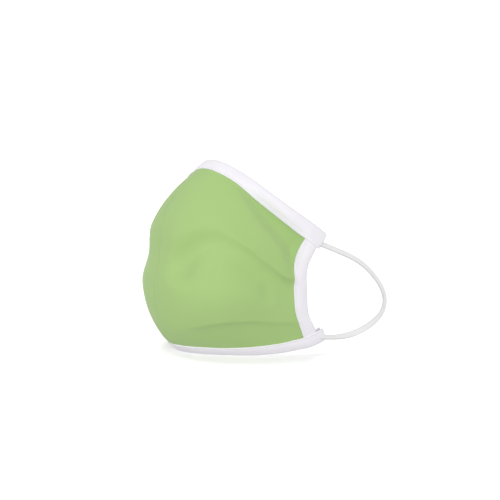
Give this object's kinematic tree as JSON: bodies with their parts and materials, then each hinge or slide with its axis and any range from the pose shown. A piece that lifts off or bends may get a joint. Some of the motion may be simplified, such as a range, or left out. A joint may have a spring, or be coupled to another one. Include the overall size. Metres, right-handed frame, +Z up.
{
  "type": "cloth face mask",
  "caption": "Cup-shaped sewn cloth face mask with folded white edge strips and flat elastic ear loops, standing on its chin edge.",
  "frame": {"origin": "on the surface the mask stands on, under the middle of the sewn body without its ear loops", "axes": "+Z up, -Y out of the front of the mask, +X to the wearer's left; the ear loops reach back along +Y"},
  "size_m": [0.1294, 0.1552, 0.1361],
  "materials": {
    "shell_cloth": "smooth matt light green polyester cloth",
    "edge_tape": "soft white folded bias strip",
    "elastic": "soft white knitted flat elastic"
  },
  "bodies": {
    "root": {"panel_left": "shell_cloth", "panel_right": "shell_cloth", "top_binding": "edge_tape", "bottom_binding": "edge_tape", "side_binding_left": "edge_tape", "side_binding_right": "edge_tape", "ear_loop_left": "elastic", "ear_loop_right": "elastic"}
  },
  "joints": []
}
